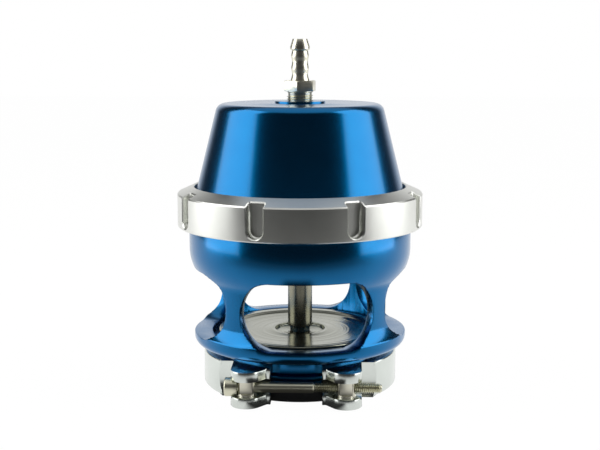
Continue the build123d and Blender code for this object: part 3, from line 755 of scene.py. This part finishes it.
def make_stem():
    """Ground stem: undercut foot in the disc's pocket, shoulder and thread at the top."""
    foot_r = 3.9
    undercut_top = STEM_FOOT + 1.8
    chamfer = 0.5
    return ease_edges(lathe("ground_stem", [
        (0, STEM_FOOT), (foot_r, STEM_FOOT), (foot_r, undercut_top),
        (STEM_R - chamfer, undercut_top), (STEM_R, undercut_top + chamfer), (STEM_R, CAP_Z),
        (STEM_THREAD_R, CAP_Z), (STEM_THREAD_R, STEM_TOP - chamfer),
        (STEM_THREAD_R - chamfer, STEM_TOP), (0, STEM_TOP),
    ], SMALL_STEPS), width=0.12)


# Hose fitting

def thread_ridge(name, major_r, minor_r, pitch, turns, foot_z):
    """One helical tooth round Z: a three-cornered ring carried up round the axis."""
    deselect()
    bpy.ops.mesh.primitive_circle_add(vertices=3, radius=MM, fill_type="NOTHING")
    ridge = bpy.context.object
    ridge.name = name
    for turn in ((0, 0, -pi / 2), (pi / 2, 0, 0)):
        ridge.rotation_euler = turn
        settle(ridge)
    # A ring of three corners at radius 1 is 1.5 wide, sqrt(3) high, and its middle is a third in
    width = major_r - minor_r
    foot_share = 0.78
    ridge.scale = (width / 1.5, 1, foot_share * pitch / sqrt(3))
    ridge.location = ((minor_r + width / 3) * MM, 0, foot_z * MM)
    settle(ridge)
    press(
        ridge, "SCREW", axis="Z", steps=BORE_STEPS, render_steps=BORE_STEPS, iterations=turns,
        screw_offset=pitch * MM, use_merge_vertices=False,
    )
    pick(ridge, lambda p: True)
    bpy.ops.mesh.select_all(action="DESELECT")
    bpy.ops.mesh.select_non_manifold()
    bpy.ops.mesh.edge_face_add()
    return face_outwards(ridge)


def make_barb():
    """Hose barb on its threaded stub: waves that flare at the foot, and a sharp crest."""
    waves, steps = 2.5, 30
    neck_r, wave, flare = 3.05, 0.33, 0.22
    stub_foot_r, stub_top_r, stub_top = 4.5, 4.6, HEX_FOOT - 0.5
    core_r, core_foot, core_top = 5.05, HEX_FOOT - 0.3, HEX_FOOT + 1.0
    recess_r, recess_z = 3.6, HEX_FOOT + 1.2
    crest_r, crest_z = 3.75, HEX_TOP + waves * BARB_PITCH
    crest_foot, crest_top = crest_z - 0.4, crest_z + 1.0
    tip_r, tip_z = 2.85, crest_z + 4.0
    barb = []
    for k in range(steps - 1):
        up = waves * k / steps
        bulge = wave * (1 + cos(2 * pi * up)) / 2
        barb.append((neck_r + bulge + flare * max(0.0, 1 - 2 * up), HEX_TOP + up * BARB_PITCH))
    return ease_edges(lathe("hose_barb", [
        (FITTING_BORE_R, FITTING_FOOT), (stub_foot_r, FITTING_FOOT), (stub_top_r, stub_top),
        (core_r, core_foot), (core_r, core_top), (recess_r, recess_z), *barb,
        (neck_r, crest_foot), (crest_r, crest_z), (crest_r, crest_top), (tip_r, tip_z),
        (FITTING_BORE_R, tip_z),
    ], SMALL_STEPS), width=0.08)


def make_hexagon():
    """Hexagon with turned corners at both ends, bored for the barb."""
    past = 1.0
    nut = round_bar("hexagon", HEX_CORNER_R, (0, 0, HEX_FOOT), (0, 0, HEX_TOP), HEX_SIDES)
    turn_all(nut, HEX_CLOCK)
    crown_r = HEX_CORNER_R + 0.05
    face_r = HEX_CORNER_R - 0.55
    corner_h = 0.35
    crown = lathe("hexagon_crown", [
        (0, HEX_FOOT), (face_r, HEX_FOOT), (crown_r, HEX_FOOT + corner_h),
        (crown_r, HEX_TOP - corner_h), (face_r, HEX_TOP), (0, HEX_TOP),
    ], SMALL_STEPS)
    cut(nut, crown, "INTERSECT")
    bore_r = 2.9
    cut(nut, round_bar("hexagon_bore", bore_r, (0, 0, HEX_FOOT - past), (0, 0, HEX_TOP + past)))
    return ease_edges(nut, width=0.1)


def make_fitting():
    """Hose fitting: tapered pipe thread, hexagon and a waved barb with a sharp crest."""
    thread_foot = FITTING_FOOT + 0.6
    barb = make_barb()
    nut = make_hexagon()
    ridge = thread_ridge(
        "pipe_thread", major_r=5.12, minor_r=4.45, pitch=0.94, turns=10, foot_z=thread_foot
    )
    return join("hose_fitting_turned", barb, nut, ridge)


# Clamp and soft pieces

def merged_copy(node_name, name):
    """A CAD node's mesh as a piece of its own, with its doubles merged."""
    node = nodes[node_name]
    copy = node.copy()
    copy.data = node.data.copy()
    copy.name = name
    copy.parent = None
    for key in list(copy.keys()):
        del copy[key]
    scene.collection.objects.link(copy)
    take(copy)
    bpy.ops.mesh.customdata_custom_splitnormals_clear()
    return face_outwards(copy)


def make_band(side_name):
    """Clamp half: the forked band with every edge broken and its faces cleaned."""
    band = merged_copy("clamp_half_" + side_name, "clamp_band_" + side_name)
    bpy.ops.object.mode_set(mode="EDIT")
    bpy.ops.mesh.select_all(action="SELECT")
    bpy.ops.mesh.dissolve_limited(angle_limit=radians(0.4))
    bpy.ops.object.mode_set(mode="OBJECT")
    return ease_edges(band, width=0.3)


def make_barrel(name, node_name, x, spot_face):
    """Cross barrel in an ear's fork: flat in front above a small step, bored for the screw."""
    foot, top = lowest(node_name, "z"), highest(node_name, "z")
    flat_depth = 0.85
    flat_y = flat_depth - EAR_Y - BARREL_R
    flat_foot, flat_top = 5.4, 10.5
    past, reach = 5.0, 8.0
    bore_r, spot_r, spot_x = 2.12, 4.1, 3.3
    barrel = round_bar(name, BARREL_R, (x, -EAR_Y, foot), (x, -EAR_Y, top))
    cut(barrel, block(
        "flat_cutter", (x - past, flat_y - past, flat_foot), (x + past, flat_y, flat_top)
    ))
    if spot_face:
        cut(barrel, round_bar(
            "spot_cutter", spot_r, (x - reach, -EAR_Y, SCREW_Z), (x - spot_x, -EAR_Y, SCREW_Z)
        ))
    cut(barrel, round_bar(
        "bore_cutter", bore_r, (x - reach, -EAR_Y, SCREW_Z), (x + reach, -EAR_Y, SCREW_Z),
        BORE_STEPS,
    ))
    return ease_edges(barrel, width=0.2)


def make_screw():
    """Clamp screw: socket head, plain shank, and a rolled thread through the right barrel."""
    head_x, end_x = lowest("clamp_screw", "x"), highest("clamp_screw", "x")
    head_r, shank_r, root_r = 3.5, 2.05, 1.4
    edge, point = 0.4, 0.2
    head_h = 4.75
    shank_x = head_x + head_h
    thread_x, run_out = 6.2, 0.6
    socket_across, socket_x = 3.0, head_x + 2.4
    past = 1.55
    shank = lathe("clamp_screw_turned", [
        (0, head_x), (head_r - edge, head_x), (head_r, head_x + edge), (head_r, shank_x),
        (shank_r, shank_x), (shank_r, thread_x), (root_r, thread_x + run_out),
        (root_r, end_x - edge), (root_r - point, end_x), (0, end_x),
    ], SMALL_STEPS)
    ease_edges(shank, width=0.12)
    cut(shank, round_bar(
        "socket_cutter", socket_across / sqrt(3), (0, 0, head_x - past), (0, 0, socket_x),
        HEX_SIDES,
    ))
    ridge = thread_ridge(
        "screw_thread", major_r=2.0, minor_r=1.35, pitch=0.7, turns=34, foot_z=6.9
    )
    screw = join("clamp_screw_threaded", shank, ridge)
    screw.rotation_euler = (0, pi / 2, 0)
    screw.location = (0, -EAR_Y * MM, SCREW_Z * MM)
    return settle(screw)


def make_pin():
    """Hinge pin at the back of the clamp: ground pin with a low domed head."""
    foot, top = lowest("hinge_pin", "z"), highest("hinge_pin", "z")
    pin_r, head_r, crown_r, crest_r = 2.5, 3.4, 2.9, 1.6
    chamfer, crest = 0.4, 0.05
    head_z = top - 0.8
    pin = lathe("hinge_pin_headed", [
        (0, foot), (pin_r - chamfer, foot), (pin_r, foot + chamfer), (pin_r, head_z),
        (head_r, head_z), (head_r, head_z + 0.35), (crown_r, top - crest), (crest_r, top),
        (0, top),
    ], SMALL_STEPS)
    pin.location = (0, HINGE_Y * MM, 0)
    return ease_edges(settle(pin), width=0.08)


PIECES = [
    (make_cap(), "cap", "housing"),
    (make_collar(), "collar_ring", "housing"),
    (make_body(), "valve_body", "housing"),
    (make_weld_flange(), "weld_flange", "housing"),
    (make_fitting(), "hose_fitting", "housing"),
    (make_disc(), "valve_disc", "valve"),
    (make_stem(), "valve_stem", "valve"),
    (make_band("left"), "clamp_half_left", "clamp_left"),
    (make_band("right"), "clamp_half_right", "clamp_right"),
    (make_pin(), "hinge_pin", "clamp_right"),
    (make_barrel("barrel_plain", "plain_barrel", -EAR_X, True), "plain_barrel", "barrel_left"),
    (
        make_barrel("barrel_threaded", "threaded_barrel", EAR_X, False),
        "threaded_barrel", "barrel_right",
    ),
    (make_screw(), "clamp_screw", "screw"),
    (merged_copy("diaphragm", "rubber_diaphragm"), "diaphragm", None),
    (merged_copy("outer_spring", "outer_coil"), "outer_spring", "housing"),
    (merged_copy("inner_spring", "inner_coil"), "inner_spring", "housing"),
]
for piece, node_name, body_name in PIECES:
    smooth(piece)
    dress(piece, frame_slots[node_name])
    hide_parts(node_name)
    if body_name:
        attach(piece, body_name)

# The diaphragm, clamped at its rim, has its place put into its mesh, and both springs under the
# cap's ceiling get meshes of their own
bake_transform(bpy.data.objects["rubber_diaphragm"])
for coil_name in ("outer_coil", "inner_coil"):
    coil = bpy.data.objects[coil_name]
    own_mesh(coil)


# Studio: white table and backdrop, tall soft boxes at both sides, dark room behind the camera

CAMERA_AWAY = 443.7
CAMERA_HEIGHT = 132.0
CAMERA_CLOCK = 2.2
CAMERA_DROP = 8.944
LENS_MM = 69.0
SENSOR_MM = 36.0
CAMERA_NEAR = 10.0

# The table in metres. Mirrored, it glows with painted light that dims into painted shade towards
# the camera, and a strip of it under the valve and behind stays dark as a painted shadow. Each
# pair is a start and an end, or the level at each.
TABLE_FRONT = 0.30
TABLE_SIDE = 2.5
TABLE_DROP = 0.00005
TABLE_GREY = (0.82, 0.82, 0.82, 1)
TABLE_ROUGHNESS = 0.7
TABLE_WHITE = 1.015
TABLE_SEEN_WHITE = 0.97
# Painted light on the mirrored table: where it rises along Y, and its level at each end
MIRRORED_PAINTED_LIGHT_Y = (-0.22, 0.02)
MIRRORED_PAINTED_LIGHT_LEVELS = (0.24, 1.0)
# Painted shadow strip: its half width and its reach in front, with the levels at each end
SHADOW_STRIP_HALF_WIDTH = (0.012, 0.021)
SHADOW_STRIP_LEVELS = (0.03, 1.0)
SHADOW_STRIP_REACH = (0.065, 0.10)
SHADOW_STRIP_END_LEVELS = (0.0, 1.0)

# The room: parts of the mirrored direction, and how bright it is at each end of them
ROOM_BACK = ("Y", (0.70, 0.95), (0.035, 0.9))
ROOM_TOP = ("Z", (0.66, 0.86), (0.0, 0.75))
ROOM_AMBIENT = 0.35

# Soft boxes in metres and watts, with their clock angles from the front
BOX_CLOCKS = {"soft_box_left": -83, "soft_box_right": 87}
BOX_AWAY = 0.62
BOX_HEIGHT = 0.30
BOX_WIDTH = 0.56
BOX_TALL = 1.05
BOX_POWER = 4.3
BOX_AIM_Z = 0.07
BOX_TILT_SHARE = 0.35


def place_camera():
    """Camera in front and a little above, aimed at the valve's axis."""
    data = bpy.data.cameras.new("camera")
    data.lens = LENS_MM
    data.sensor_width = SENSOR_MM
    data.clip_start = CAMERA_NEAR * MM
    camera = bpy.data.objects.new("camera", data)
    turn = radians(CAMERA_CLOCK)
    camera.location = (
        CAMERA_AWAY * MM * sin(turn), -CAMERA_AWAY * MM * cos(turn), CAMERA_HEIGHT * MM
    )
    camera.rotation_euler = (radians(90 - CAMERA_DROP), 0, turn)
    scene.collection.objects.link(camera)
    scene.camera = camera


def ramp(tree, value, span, levels):
    """Soft step of a value: from the first level at the span's start to the second at its end."""
    node = add(tree, "ShaderNodeMapRange", interpolation_type="SMOOTHSTEP")
    tree.links.new(value, node.inputs["Value"])
    for socket, number in zip(("From Min", "From Max", "To Min", "To Max"), (*span, *levels)):
        node.inputs[socket].default_value = number
    return node.outputs["Result"]


def mirrored_rays(tree, path):
    """1 for rays that a polished or a clear surface sends on, otherwise 0."""
    return calc(
        tree, "MAXIMUM", path.outputs["Is Glossy Ray"], path.outputs["Is Transmission Ray"]
    )


def mix_shaders(tree, factor, first, second):
    """First shader where the factor is 0, second where it is 1."""
    mix = add(tree, "ShaderNodeMixShader")
    for socket, output in zip(mix.inputs, (factor, first, second)):
        tree.links.new(output, socket)
    return mix.outputs[0]


def white_table_material():
    """White to the camera, plain pale grey under the lamps, and where mirrored a painted light
    level with a painted shadow strip under the valve.
    """
    made = bpy.data.materials.new("white_table")
    made.use_nodes = True
    tree = made.node_tree
    shader = tree.nodes["Principled BSDF"]
    shader.inputs["Base Color"].default_value = TABLE_GREY
    shader.inputs["Roughness"].default_value = TABLE_ROUGHNESS
    glow = add(tree, "ShaderNodeEmission")
    glow.inputs["Strength"].default_value = TABLE_WHITE
    shade = add(tree, "ShaderNodeEmission")
    place = add(tree, "ShaderNodeSeparateXYZ")
    tree.links.new(add(tree, "ShaderNodeTexCoord").outputs["Object"], place.inputs[0])
    # Painted light: the table's glow where mirrored, dimming to painted shade towards the camera
    painted_floor_light = ramp(tree, place.outputs["Y"], MIRRORED_PAINTED_LIGHT_Y, MIRRORED_PAINTED_LIGHT_LEVELS)
    # Painted shadow: a strip under the valve and behind it stays dark where mirrored
    aside = calc(tree, "ABSOLUTE", place.outputs["X"])
    beside_painted_shadow = ramp(tree, aside, SHADOW_STRIP_HALF_WIDTH, SHADOW_STRIP_LEVELS)
    forward = calc(tree, "MULTIPLY", place.outputs["Y"], -1.0)
    ahead_of_painted_shadow = ramp(tree, forward, SHADOW_STRIP_REACH, SHADOW_STRIP_END_LEVELS)
    level = calc(tree, "MULTIPLY", painted_floor_light, calc(tree, "MAXIMUM", beside_painted_shadow, ahead_of_painted_shadow))
    tree.links.new(level, shade.inputs["Strength"])
    path = add(tree, "ShaderNodeLightPath")
    unseen = mix_shaders(tree, mirrored_rays(tree, path), shader.outputs[0], shade.outputs[0])
    seen = calc(tree, "MULTIPLY", path.outputs["Is Camera Ray"], TABLE_SEEN_WHITE)
    surface = mix_shaders(tree, seen, unseen, glow.outputs[0])
    tree.links.new(surface, tree.nodes["Material Output"].inputs["Surface"])
    return made


def lay_table():
    """White table top: it reads as the white ground and keeps a faint shadow."""
    deselect()
    bpy.ops.mesh.primitive_plane_add(size=2, location=(0, 0, 0))
    table = bpy.context.object
    table.name = "table"
    table.scale = (TABLE_SIDE, (TABLE_SIDE + TABLE_FRONT) / 2, 1)
    table.location = (0, (TABLE_SIDE - TABLE_FRONT) / 2, -TABLE_DROP)
    settle(table)
    table.data.materials.append(white_table_material())


def light_room():
    """World: white to the camera; mirrored it is white behind, grey above and dark in front."""
    world = bpy.data.worlds.new("room")
    scene.world = world
    world.use_nodes = True
    tree = world.node_tree
    back = tree.nodes["Background"]
    split = add(tree, "ShaderNodeSeparateXYZ")
    tree.links.new(add(tree, "ShaderNodeTexCoord").outputs["Generated"], split.inputs[0])
    sides = [
        ramp(tree, split.outputs[axis], span, levels)
        for axis, span, levels in (ROOM_BACK, ROOM_TOP)
    ]
    surroundings = calc(tree, "MAXIMUM", *sides)
    path = add(tree, "ShaderNodeLightPath")
    mirrored = mirrored_rays(tree, path)
    ambient = calc(tree, "MULTIPLY", calc(tree, "SUBTRACT", 1.0, mirrored), ROOM_AMBIENT)
    room = calc(tree, "MULTIPLY_ADD", surroundings, mirrored, ambient)
    level = calc(tree, "MAXIMUM", room, path.outputs["Is Camera Ray"])
    back.inputs["Color"].default_value = (1, 1, 1, 1)
    tree.links.new(level, back.inputs["Strength"])


def soft_box(name, clock):
    """Upright soft box at a clock angle from the camera side, facing the valve."""
    lamp = bpy.data.lights.new(name, "AREA")
    lamp.shape = "RECTANGLE"
    lamp.size = BOX_WIDTH
    lamp.size_y = BOX_TALL
    lamp.energy = BOX_POWER
    box = bpy.data.objects.new(name, lamp)
    turn = radians(clock)
    box.location = (BOX_AWAY * sin(turn), -BOX_AWAY * cos(turn), BOX_HEIGHT)
    aim = Vector((0, 0, BOX_AIM_Z)) - box.location
    aim.z *= BOX_TILT_SHARE
    box.rotation_euler = aim.to_track_quat("-Z", "Y").to_euler()
    scene.collection.objects.link(box)


place_camera()
lay_table()
light_room()
for box_name, box_clock in BOX_CLOCKS.items():
    soft_box(box_name, box_clock)


for name, node in nodes.items():
    if not node.hide_render:
        dress(node, frame_slots[name])
